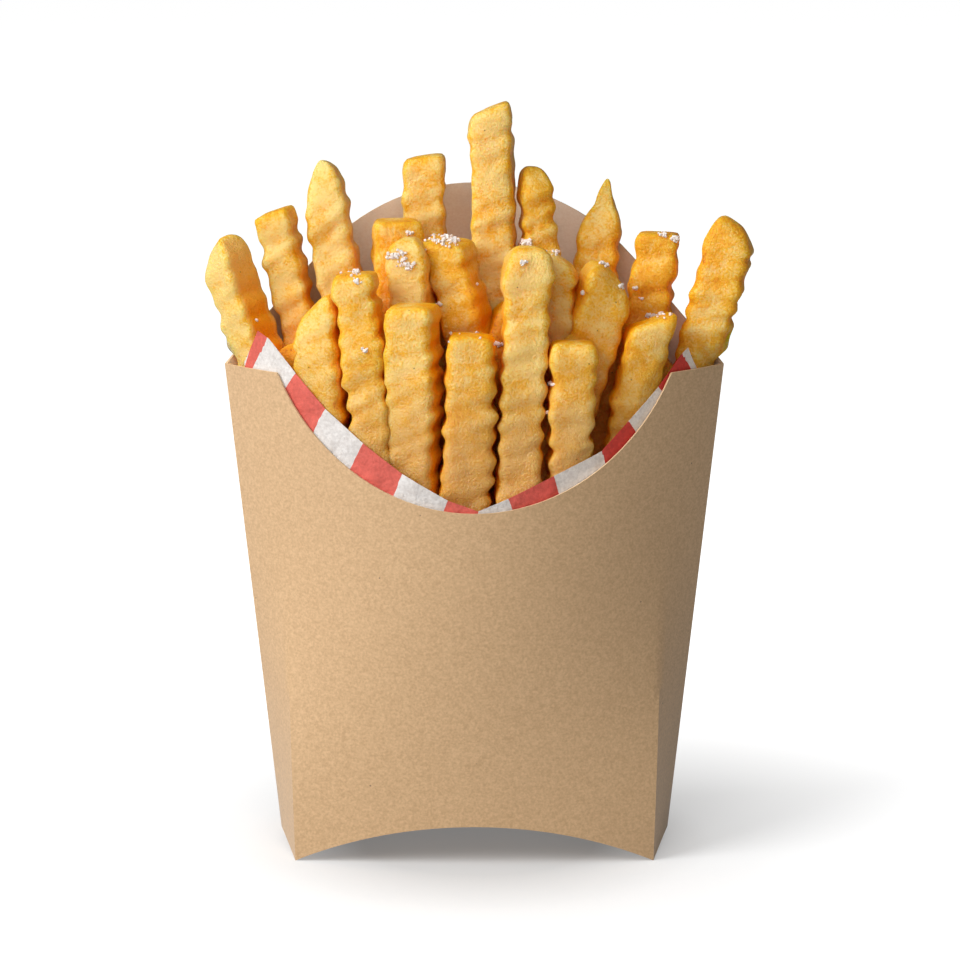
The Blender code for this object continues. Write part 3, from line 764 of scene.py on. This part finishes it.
def heap_surface():
    """All the fries' faces, for salt to be met on."""
    points, faces = [], []
    for piece in bpy.data.objects:
        if piece.name.startswith("fries_") and piece.type == "MESH":
            first = len(points)
            points += [vertex.co for vertex in piece.data.vertices]
            faces += [[first + index for index in face.vertices] for face in piece.data.polygons]
    return BVHTree.FromPolygons(points, faces)


def salt_aims(chance, density):
    """A place and a direction for each crystal: at its spot from the front, or loose from
    above."""
    aims = []
    for x, z, spread_out, count in SALT_SPOTS:
        for _ in range(round(SALT_RICHNESS * count * density)):
            aside = chance.gauss(0.0, spread_out * SALT_ACROSS)
            above = chance.gauss(0.0, spread_out * SALT_UP)
            aims.append((Vector((x + aside, 0.0, z + above)) * MM, SALT_DROP))
    for _ in range(round(SALT_LOOSE * density)):
        spot = [chance.uniform(-reach, reach) for reach in SALT_REACH]
        aims.append((Vector((*spot, SALT_LOOSE_Z)) * MM, Vector((0.0, 0.0, -1.0))))
    return aims


def scatter_salt(settings):
    """Coarse salt: one bevelled crystal, copied to where it lies on the fries."""
    deselect()
    bpy.ops.mesh.primitive_cube_add(size=1.0)
    crystal = bpy.context.object
    add_modifier(crystal, "BEVEL", width=SALT_BEVEL, segments=1)
    heap, chance = heap_surface(), random.Random(settings.seed)
    copies = []
    for aim, direction in salt_aims(chance, settings.density):
        aim.x += MIDDLE_X
        met, normal, _, _ = heap.ray_cast(aim - direction * SALT_HEIGHT, direction)
        if met is None or normal.z < SALT_STEEPEST or not SALT_LOW_Z < met.z < SALT_HIGH_Z:
            continue
        size = settings.crystal * chance.uniform(*SALT_SIZES)
        sizes = Vector([size * chance.uniform(*SALT_SIDES) for _ in range(3)])
        turn = Euler([chance.uniform(0.0, math.tau) for _ in range(3)]).to_matrix().to_4x4()
        copy = crystal.copy()
        copy.data = crystal.data.copy()
        bpy.context.scene.collection.objects.link(copy)
        copy.data.transform(Matrix.Translation(met + normal * size * SALT_LIFT) @ turn
                            @ Matrix.Diagonal((*sizes, 1.0)))
        copies.append(copy)
    bpy.data.objects.remove(crystal)
    join("salt", copies)
    coat(copies[0], salt_crystal(settings))
    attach(copies[0], "root")


# Finishes.

def plug(tree, socket, value):
    """Link a value to a socket, or set it there if it is fixed."""
    if isinstance(value, bpy.types.NodeSocket):
        tree.links.new(value, socket)
    else:
        socket.default_value = value


def give(tree, node, **inputs):
    """Set or link a node's inputs by name."""
    for name, value in inputs.items():
        plug(tree, node.inputs[name.replace("_", " ")], value)
    return node


def add_node(tree, kind, own=None, **inputs):
    """Add a node, set its own values, and set or link its inputs by name."""
    node = tree.nodes.new(kind)
    for name, value in (own or {}).items():
        setattr(node, name, value)
    return give(tree, node, **inputs)


def reckon(tree, operation, *values):
    """A Math node's result."""
    node = add_node(tree, "ShaderNodeMath", {"operation": operation})
    for socket, value in zip(node.inputs, values):
        plug(tree, socket, value)
    return node.outputs[0]


def spread(tree, value, low, high, new_low=0.0, new_high=1.0):
    """A value from low to high, stretched and clamped to a new range."""
    return add_node(tree, "ShaderNodeMapRange", {"clamp": True}, Value=value, From_Min=low,
                    From_Max=high, To_Min=new_low, To_Max=new_high).outputs["Result"]


def noise_at(tree, place, scale, detail=2.0, roughness=0.5):
    """Noise with so many lumps in a metre."""
    return add_node(tree, "ShaderNodeTexNoise", Vector=place, Scale=scale, Detail=detail,
                    Roughness=roughness).outputs[0]


def blend_colours(tree, share, first, second, kind="MIX"):
    """Two colours mixed, either of which may be fixed."""
    node = add_node(tree, "ShaderNodeMix", {"data_type": "RGBA", "blend_type": kind})
    plug(tree, node.inputs[0], share)
    for index, value in ((6, first), (7, second)):
        linked = isinstance(value, bpy.types.NodeSocket)
        plug(tree, node.inputs[index], value if linked else (*value, 1.0))
    return node.outputs[2]


def grain_group():
    """The shader group that every finish here takes its grain from: a fine and a coarse
    unevenness about a half, and rare specks."""
    name = "grain and specks"
    if name in bpy.data.node_groups:
        return bpy.data.node_groups[name]
    group = bpy.data.node_groups.new(name, "ShaderNodeTree")
    sockets = group.interface
    sockets.new_socket("Place", in_out="INPUT", socket_type="NodeSocketVector")
    for name, default in (("Fine Scale", 1500.0), ("Coarse Scale", 300.0),
                          ("Coarse Share", 0.35), ("Speck Scale", 150.0),
                          ("Speck Size", 0.06)):
        socket = sockets.new_socket(name, in_out="INPUT", socket_type="NodeSocketFloat")
        socket.default_value = default
    for name in ("Fine", "Coarse", "Grain", "Specks"):
        sockets.new_socket(name, in_out="OUTPUT", socket_type="NodeSocketFloat")
    given = group.nodes.new("NodeGroupInput").outputs
    place, speck_size = given["Place"], given["Speck Size"]
    fine = noise_at(group, place, given["Fine Scale"], 3.0, 0.6)
    coarse = noise_at(group, place, given["Coarse Scale"])
    both = add_node(group, "ShaderNodeMix", Factor=given["Coarse Share"], A=fine, B=coarse)
    cells = add_node(group, "ShaderNodeTexVoronoi", Vector=place, Scale=given["Speck Scale"])
    inside = reckon(group, "SUBTRACT", speck_size, cells.outputs["Distance"])
    sharp = reckon(group, "DIVIDE", inside, reckon(group, "MULTIPLY", speck_size, 0.4))
    give(group, group.nodes.new("NodeGroupOutput"), Fine=fine, Coarse=coarse,
         Grain=both.outputs[0], Specks=spread(group, sharp, 0.0, 1.0))
    return group


def start_finish(name, roughness):
    """A new Principled material with its tree, its shader and the object's own place."""
    material = bpy.data.materials.new(name)
    material.use_nodes = True
    tree = material.node_tree
    shader = give(tree, tree.nodes["Principled BSDF"], Roughness=roughness)
    place = tree.nodes.new("ShaderNodeTexCoord").outputs["Object"]
    return material, tree, shader, place


def grain_of(tree, place, **values):
    """The grain group placed in a finish, with the finish's own values."""
    group = {"node_tree": grain_group()}
    return add_node(tree, "ShaderNodeGroup", group, Place=place, **values).outputs


def raise_surface(tree, shader, height, distance, strength=1.0):
    """Give the shader the fine relief of a height."""
    bump = add_node(tree, "ShaderNodeBump", Height=height, Distance=distance, Strength=strength)
    give(tree, shader, Normal=bump.outputs["Normal"])


def kraft_board(settings, inside=False):
    """Uncoated kraft board: fine mottled fibres, and a dark speck here and there. The
    inside is the same board made paler, painted light on the inside of the panels."""
    name = "inside of board" if inside else "kraft board"
    light, shade = settings.light, settings.shade
    # The inside takes paler colours of the same board: painted light.
    if inside:
        light, shade = settings.painted_lit_inside_light, settings.painted_lit_inside_shade
    material, tree, shader, place = start_finish(name, 0.72)
    grain = grain_of(tree, place, Fine_Scale=1700.0, Coarse_Scale=800.0, Coarse_Share=0.3,
                     Speck_Scale=130.0, Speck_Size=0.035)
    fibres = add_node(tree, "ShaderNodeMapping", Vector=place, Scale=(900.0, 900.0, 2000.0))
    fibres = noise_at(tree, fibres.outputs[0], 1.0)
    tone = reckon(tree, "MULTIPLY_ADD", fibres, 0.2, reckon(tree, "MULTIPLY", grain["Grain"], 0.8))
    colour = blend_colours(tree, spread(tree, tone, 0.39, 0.61), shade, light)
    clouds = spread(tree, noise_at(tree, place, 35.0, 1.0), 0.3, 0.7, 0.0, 0.06)
    colour = blend_colours(tree, clouds, colour, shade)
    specks = reckon(tree, "MULTIPLY", grain["Specks"], 0.75)
    give(tree, shader, Base_Color=blend_colours(tree, specks, colour, settings.speck),
         Roughness=spread(tree, grain["Grain"], 0.3, 0.7, 0.58, 0.72),
         Specular_IOR_Level=1.0, Sheen_Weight=0.32)
    raise_surface(tree, shader, tone, 0.00008, 0.5)
    return material


def cut_board(settings):
    """The board's cut edge: paler, with the ends of its fibres."""
    material, tree, shader, place = start_finish("cut edge of board", 0.85)
    grain = grain_of(tree, place, Fine_Scale=3200.0, Coarse_Scale=700.0)
    tone = spread(tree, grain["Grain"], 0.3, 0.7)
    give(tree, shader, Base_Color=blend_colours(tree, tone, settings.light, settings.cut))
    raise_surface(tree, shader, grain["Fine"], 0.0001, 0.6)
    return material


def checked_paper(settings):
    """Thin paper with a printed check that follows the sheet; towards its right the paper is
    painted warmer with bounce light from the fries and the check darker with painted shade.
    """
    material, tree, shader, place = start_finish("checked paper", 0.62)
    grain = grain_of(tree, place, Fine_Scale=1300.0, Coarse_Scale=260.0, Coarse_Share=0.4)
    checks = add_node(tree, "ShaderNodeUVMap", {"uv_map": "checks"}).outputs[0]
    check = add_node(tree, "ShaderNodeTexChecker", Vector=checks, Scale=1.0).outputs["Fac"]
    plain = blend_colours(tree, check, settings.check, settings.paper)
    painted_bounce_paper = blend_colours(tree, check, settings.painted_shade_check, settings.painted_bounce_paper)
    across_sheet = add_node(tree, "ShaderNodeSeparateXYZ", Vector=place).outputs["X"]
    # Towards the right: painted warm bounce light on the paper, painted shade on the check.
    colour = blend_colours(tree, spread(tree, across_sheet, *PAINTED_BOUNCE_FROM_TO), plain, painted_bounce_paper)
    mottle = spread(tree, grain["Grain"], 0.38, 0.62, 0.0, 0.7)
    colour = blend_colours(tree, mottle, colour, settings.mottle, "MULTIPLY")
    give(tree, shader, Base_Color=colour)
    height = reckon(tree, "MULTIPLY_ADD", noise_at(tree, place, 180.0), 3.0, grain["Grain"])
    raise_surface(tree, shader, height, 0.0003)
    return material


def fried_potato(settings):
    """Fried potato: pale where it is thick, darker on edges, ends and in its grain. Painted light
    too: an orange glow on the flanks, a red glow deep between the fries, shade in part lower
    down, and paler crests over darker troughs.
    """
    name = "fried potato"
    if name in bpy.data.materials:
        return bpy.data.materials[name]
    material, tree, shader, place = start_finish(name, 0.5)
    worn = {name: add_node(tree, "ShaderNodeAttribute", {"attribute_name": name}).outputs["Fac"]
            for name in WORN}
    grain = grain_of(tree, place, Fine_Scale=1700.0, Coarse_Scale=480.0, Coarse_Share=0.38,
                     Speck_Scale=190.0, Speck_Size=0.05)
    patches = spread(tree, noise_at(tree, place, 130.0), 0.3, 0.7, -0.19, 0.19)
    mealy = spread(tree, grain["Grain"], 0.35, 0.65, -0.28, 0.28)
    amount = reckon(tree, "MULTIPLY_ADD", worn["edge"], 0.26, worn["fried"])
    amount = reckon(tree, "ADD", reckon(tree, "ADD", amount, patches), mealy)
    # Crests are painted paler and troughs darker: painted highlight and shade on the ridges.
    amount = reckon(tree, "MULTIPLY_ADD", worn["ridge"], -0.07, amount)
    ramp = add_node(tree, "ShaderNodeValToRGB", Fac=amount)
    stops = ramp.color_ramp.elements
    stops[0].position, stops[0].color = 0.05, (*settings.pale, 1.0)
    stops[1].position, stops[1].color = 0.45, (*settings.golden, 1.0)
    for position, fixed in ((0.80, settings.deep), (1.0, settings.brown)):
        stops.new(position).color = (*fixed, 1.0)
    colour = ramp.outputs[0]
    # Painted light and shade: lower parts duller, partly painted shade; flanks with a painted
    # orange glow; parts deep between the fries with a painted red glow.
    for name, most in (("low", 0.76), ("side", 0.90), ("inner", 0.70)):
        share = reckon(tree, "MULTIPLY", worn[name], most)
        colour = blend_colours(tree, share, colour, getattr(settings, name))
    dusk = spread(tree, grain["Fine"], 0.58, 0.76, 0.0, 0.18)
    colour = blend_colours(tree, dusk, colour, settings.brown)
    specks = reckon(tree, "MULTIPLY", grain["Specks"], 0.6)
    give(tree, shader, Base_Color=blend_colours(tree, specks, colour, settings.speck),
         Roughness=spread(tree, grain["Grain"], 0.3, 0.7, 0.28, 0.46),
         # Flanks keep little specular, so their painted glow stays deep orange.
         Specular_IOR_Level=spread(tree, worn["side"], FLANK_OUTSIDE, 1.0, 0.35, 0.06),
         Subsurface_Weight=settings.translucence, Subsurface_Radius=(1.0, 0.7, 0.3),
         Subsurface_Scale=0.006)
    height = reckon(tree, "MULTIPLY_ADD", grain["Coarse"], 0.8, grain["Fine"])
    raise_surface(tree, shader, height, 0.00042)
    return material


def salt_crystal(settings):
    """Salt: white, with clear and clouded crystals."""
    material, tree, shader, place = start_finish("salt", 0.3)
    grain = grain_of(tree, place, Fine_Scale=900.0, Coarse_Scale=300.0)
    clear = spread(tree, grain["Grain"], 0.35, 0.65)
    give(tree, shader, Base_Color=blend_colours(tree, clear, settings.clouded, settings.white),
         Roughness=spread(tree, grain["Fine"], 0.3, 0.7, 0.2, 0.5), Transmission_Weight=0.1)
    return material


def pale_floor(settings):
    """A plain pale floor that stays white away from the object, lifted by a glow only the camera
    sees. The glow is weaker beside the carton and weakest under it, a painted shadow, and its
    rise outwards fades the cast shadow with painted light.
    """
    material, tree, shader, place = start_finish("pale floor", 0.9)
    grain = grain_of(tree, place, Fine_Scale=60.0, Coarse_Scale=4.0)
    cloudy = spread(tree, grain["Grain"], 0.3, 0.7, 0.0, 0.04)
    colour = blend_colours(tree, cloudy, settings.floor, (0.5, 0.5, 0.5))
    away = add_node(tree, "ShaderNodeVectorMath", {"operation": "LENGTH"}, Vector=place)
    away = away.outputs["Value"]
    # The glow rises from near to far: painted shade beside the carton, painted light over its
    # shadow further out.
    glow = spread(tree, away, *GLOW_SPREAD, settings.near_glow, settings.far_glow)
    # Weaker still right by the carton: a painted shadow under and round its foot.
    glow = reckon(tree, "MULTIPLY", glow, spread(tree, away, *PAINTED_SHADOW_SPREAD))
    seen = tree.nodes.new("ShaderNodeLightPath").outputs["Is Camera Ray"]
    give(tree, shader, Base_Color=colour, Specular_IOR_Level=0.1,
         Emission_Color=(1.0, 1.0, 1.0, 1.0),
         Emission_Strength=reckon(tree, "MULTIPLY", glow, seen))
    return material


# Stage.

def set_stage(settings):
    """The floor, two softboxes, the light all round and the camera."""
    deselect()
    bpy.ops.mesh.primitive_plane_add(size=FLOOR_SIZE, location=(0.0, 0.0, 0.0))
    floor = bpy.context.object
    floor.name = "floor"
    coat(floor, pale_floor(settings))
    for name, place, size, power in (("key", KEY_PLACE, KEY_SIZE, settings.key),
                                     ("fill", FILL_PLACE, FILL_SIZE, settings.fill)):
        towards = LIT_PLACE - Vector(place)
        bpy.ops.object.light_add(type="AREA", location=place,
                                 rotation=towards.to_track_quat("-Z", "Y").to_euler())
        lamp = bpy.context.object
        lamp.name = name
        lamp.data.size, lamp.data.energy = size, power
    scene = bpy.context.scene
    scene.world = bpy.data.worlds.new("air")
    scene.world.use_nodes = True
    tree = scene.world.node_tree
    seen = tree.nodes.new("ShaderNodeLightPath").outputs["Is Camera Ray"]
    give(tree, tree.nodes["Background"], Color=(1.0, 1.0, 1.0, 1.0),
         Strength=spread(tree, seen, 0.0, 1.0, settings.air, BACKDROP))
    down = math.radians(CAMERA_ELEVATION)
    back = Vector((0.0, -math.cos(down), math.sin(down)))
    aim = Vector((MIDDLE_X, 0.0, 0.0)) + CAMERA_TARGET
    bpy.ops.object.camera_add(location=aim + back * CAMERA_DISTANCE,
                              rotation=(math.pi / 2.0 - down, 0.0, 0.0))
    camera = bpy.context.object
    camera.name = "camera"
    camera.data.lens, camera.data.sensor_width = CAMERA_LENS, CAMERA_SENSOR
    scene.camera = camera
    scene.view_settings.view_transform = "Standard"


# Settings.

def dial(name, description, default, low, high, **more):
    """A number that a user may change."""
    return FloatProperty(name=name, description=description, default=default, min=low, max=high,
                         **more)


def measure(name, description, default, low, high):
    """A length that a user may change."""
    return dial(name, description, default, low, high, precision=5, unit="LENGTH")


def tint(name, description, default):
    """A colour that a user may change."""
    return FloatVectorProperty(name=name, description=description, default=default,
                               subtype="COLOR", size=3, min=0.0, max=1.0)


class CartonSettings(bpy.types.PropertyGroup):
    """Sizes and colours of the carton."""
    board: measure("Board", "Thickness of the board", 0.0005, 0.0003, 0.0007)
    light: tint("Light fibres", "Kraft board's lighter fibres", (0.70, 0.45, 0.228))
    shade: tint("Dark fibres", "Kraft board's darker fibres", (0.54, 0.325, 0.148))
    # The inside's colours: the kraft made paler, painted light on the inside of the panels.
    painted_lit_inside_light: tint("Inside, light", "Lighter fibres of the inside", (0.97, 0.81, 0.65))
    painted_lit_inside_shade: tint("Inside, dark", "Darker fibres of the inside", (0.90, 0.72, 0.55))
    speck: tint("Specks", "Rare dark specks in the board", (0.12, 0.06, 0.03))
    cut: tint("Cut edge", "The board's cut edge", (0.76, 0.58, 0.37))


class LinerSettings(bpy.types.PropertyGroup):
    """Thickness and colours of the paper liner."""
    sheet: measure("Paper", "Thickness of the paper", 0.00012, 0.00005, 0.0002)
    paper: tint("Paper", "Unprinted paper", (0.80, 0.76, 0.73))
    check: tint("Check", "Printed squares", (0.76, 0.130, 0.095))
    # Painted light: towards the right the paper is painted warmer with bounce light from the
    # fries, and the check darker with shade.
    painted_bounce_paper: tint("Oiled paper", "Unprinted paper where fries have oiled it", (0.98, 0.87, 0.77))
    painted_shade_check: tint("Oiled check", "Printed squares there", (0.72, 0.050, 0.032))
    mottle: tint("Mottle", "Shade of the paper's thicker spots", (0.68, 0.65, 0.63))


class PotatoSettings(bpy.types.PropertyGroup):
    """Ridges and colours of the fries."""
    ridge_height: measure("Ridge height", "From the middle to a crest", 0.0004, 0.0, 0.0012)
    face_relief: dial("Face relief", "Ridges on the front as a share of those on the sides",
                      0.25, 0.0, 1.0, subtype="FACTOR")
    corner_radius: measure("Corners", "Radius of a fry's long corners", 0.0013, 0.0005, 0.004)
    translucence: dial("Translucence", "Light that passes through the potato", 0.65, 0.0, 1.0,
                       subtype="FACTOR")
    pale: tint("Pale", "Least fried parts", (0.97, 0.65, 0.21))
    golden: tint("Golden", "Most of the surface", (0.93, 0.465, 0.016))
    deep: tint("Deep golden", "Well fried parts", (0.82, 0.32, 0.009))
    brown: tint("Brown", "Browned grain and ends", (0.50, 0.16, 0.010))
    # The next three are painted light and shade: lower parts duller, partly painted shade; flanks
    # with a painted orange glow; parts deep between the fries with a painted red glow.
    low: tint("Low ends", "Parts that stand low in the carton", (0.66, 0.325, 0.088))
    side: tint("Sides", "Flanks that face other fries", (1.0, 0.38, 0.001))
    inner: tint("Inside the heap", "Parts deep between the fries", (0.98, 0.24, 0.003))
    speck: tint("Specks", "Small brown specks", (0.20, 0.08, 0.02))


class SaltSettings(bpy.types.PropertyGroup):
    """How much salt there is and what it looks like."""
    crystal: measure("Crystal", "Usual size of a crystal", 0.00054, 0.0003, 0.002)
    density: dial("Density", "How many crystals, against the usual number", 1.0, 0.1, 3.0)
    seed: IntProperty(name="Seed", description="Another number scatters the salt another way",
                      default=7, min=0)
    white: tint("White", "Clear crystals", (0.98, 0.93, 0.89))
    clouded: tint("Clouded", "Clouded crystals", (0.95, 0.84, 0.77))


class StageSettings(bpy.types.PropertyGroup):
    """Floor, lights and the light all round."""
    floor: tint("Floor", "Colour of the floor", (0.55, 0.55, 0.55))
    # Glow near is below glow far: painted shade beside the carton, painted light over its shadow
    # further out.
    near_glow: dial("Glow near", "Lift of the floor beside the carton", 0.48, 0.0, 2.0)
    far_glow: dial("Glow far", "Lift of the floor far away", 0.9, 0.0, 2.0)
    key: dial("Key", "Power of the main softbox in watts", 18.8, 0.0, 500.0)
    fill: dial("Fill", "Power of the softbox overhead in watts", 6.0, 0.0, 500.0)
    air: dial("Air", "Strength of the light all round", 0.15, 0.0, 5.0)


# Operators.

class FRIES_OT_carton(bpy.types.Operator):
    """Fold the carton from its blank"""
    bl_idname = "fries.carton"
    bl_label = "Carton"
    bl_options = {"REGISTER", "UNDO"}

    def execute(self, context):
        fold_carton(context.scene.fries_carton)
        return {"FINISHED"}


class FRIES_OT_liner(bpy.types.Operator):
    """Lay the checked paper inside the carton's front"""
    bl_idname = "fries.liner"
    bl_label = "Liner"
    bl_options = {"REGISTER", "UNDO"}

    def execute(self, context):
        lay_liner(context.scene.fries_liner)
        return {"FINISHED"}


class FRIES_OT_heap(bpy.types.Operator):
    """Fill the carton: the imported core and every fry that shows"""
    bl_idname = "fries.heap"
    bl_label = "Fries"
    bl_options = {"REGISTER", "UNDO"}

    def execute(self, context):
        fill_carton(context.scene.fries_potato)
        return {"FINISHED"}


class FRIES_OT_salt(bpy.types.Operator):
    """Scatter coarse salt over the fries"""
    bl_idname = "fries.salt"
    bl_label = "Salt"
    bl_options = {"REGISTER", "UNDO"}

    def execute(self, context):
        scatter_salt(context.scene.fries_salt)
        return {"FINISHED"}


class FRIES_OT_stage(bpy.types.Operator):
    """Set the floor, the softboxes and the camera"""
    bl_idname = "fries.stage"
    bl_label = "Stage"
    bl_options = {"REGISTER", "UNDO"}

    def execute(self, context):
        set_stage(context.scene.fries_stage)
        return {"FINISHED"}


class FRIES_PT_sidebar(bpy.types.Panel):
    """The steps and their settings, in the order in which they are made"""
    bl_idname = "FRIES_PT_sidebar"
    bl_label = "French fries in a carton"
    bl_space_type = "VIEW_3D"
    bl_region_type = "UI"
    bl_category = "Fries"

    def draw(self, context):
        for step, name in ((FRIES_OT_carton, "fries_carton"), (FRIES_OT_liner, "fries_liner"),
                           (FRIES_OT_heap, "fries_potato"), (FRIES_OT_salt, "fries_salt"),
                           (FRIES_OT_stage, "fries_stage")):
            box = self.layout.box()
            box.operator(step.bl_idname)
            settings = getattr(context.scene, name)
            for key in settings.__annotations__:
                box.prop(settings, key)


SETTINGS = {
    "fries_carton": CartonSettings,
    "fries_liner": LinerSettings,
    "fries_potato": PotatoSettings,
    "fries_salt": SaltSettings,
    "fries_stage": StageSettings,
}
PARTS = (FRIES_OT_carton, FRIES_OT_liner, FRIES_OT_heap, FRIES_OT_salt, FRIES_OT_stage,
         FRIES_PT_sidebar)


def register():
    for name, settings in SETTINGS.items():
        bpy.utils.register_class(settings)
        setattr(bpy.types.Scene, name, PointerProperty(type=settings))
    for part in PARTS:
        bpy.utils.register_class(part)


def unregister():
    for part in reversed(PARTS):
        bpy.utils.unregister_class(part)
    for name, settings in SETTINGS.items():
        delattr(bpy.types.Scene, name)
        bpy.utils.unregister_class(settings)


def main():
    register()
    bpy.ops.fries.carton()
    bpy.ops.fries.liner()
    bpy.ops.fries.heap()
    bpy.ops.fries.salt()
    bpy.ops.fries.stage()


if __name__ == "__main__":
    main()
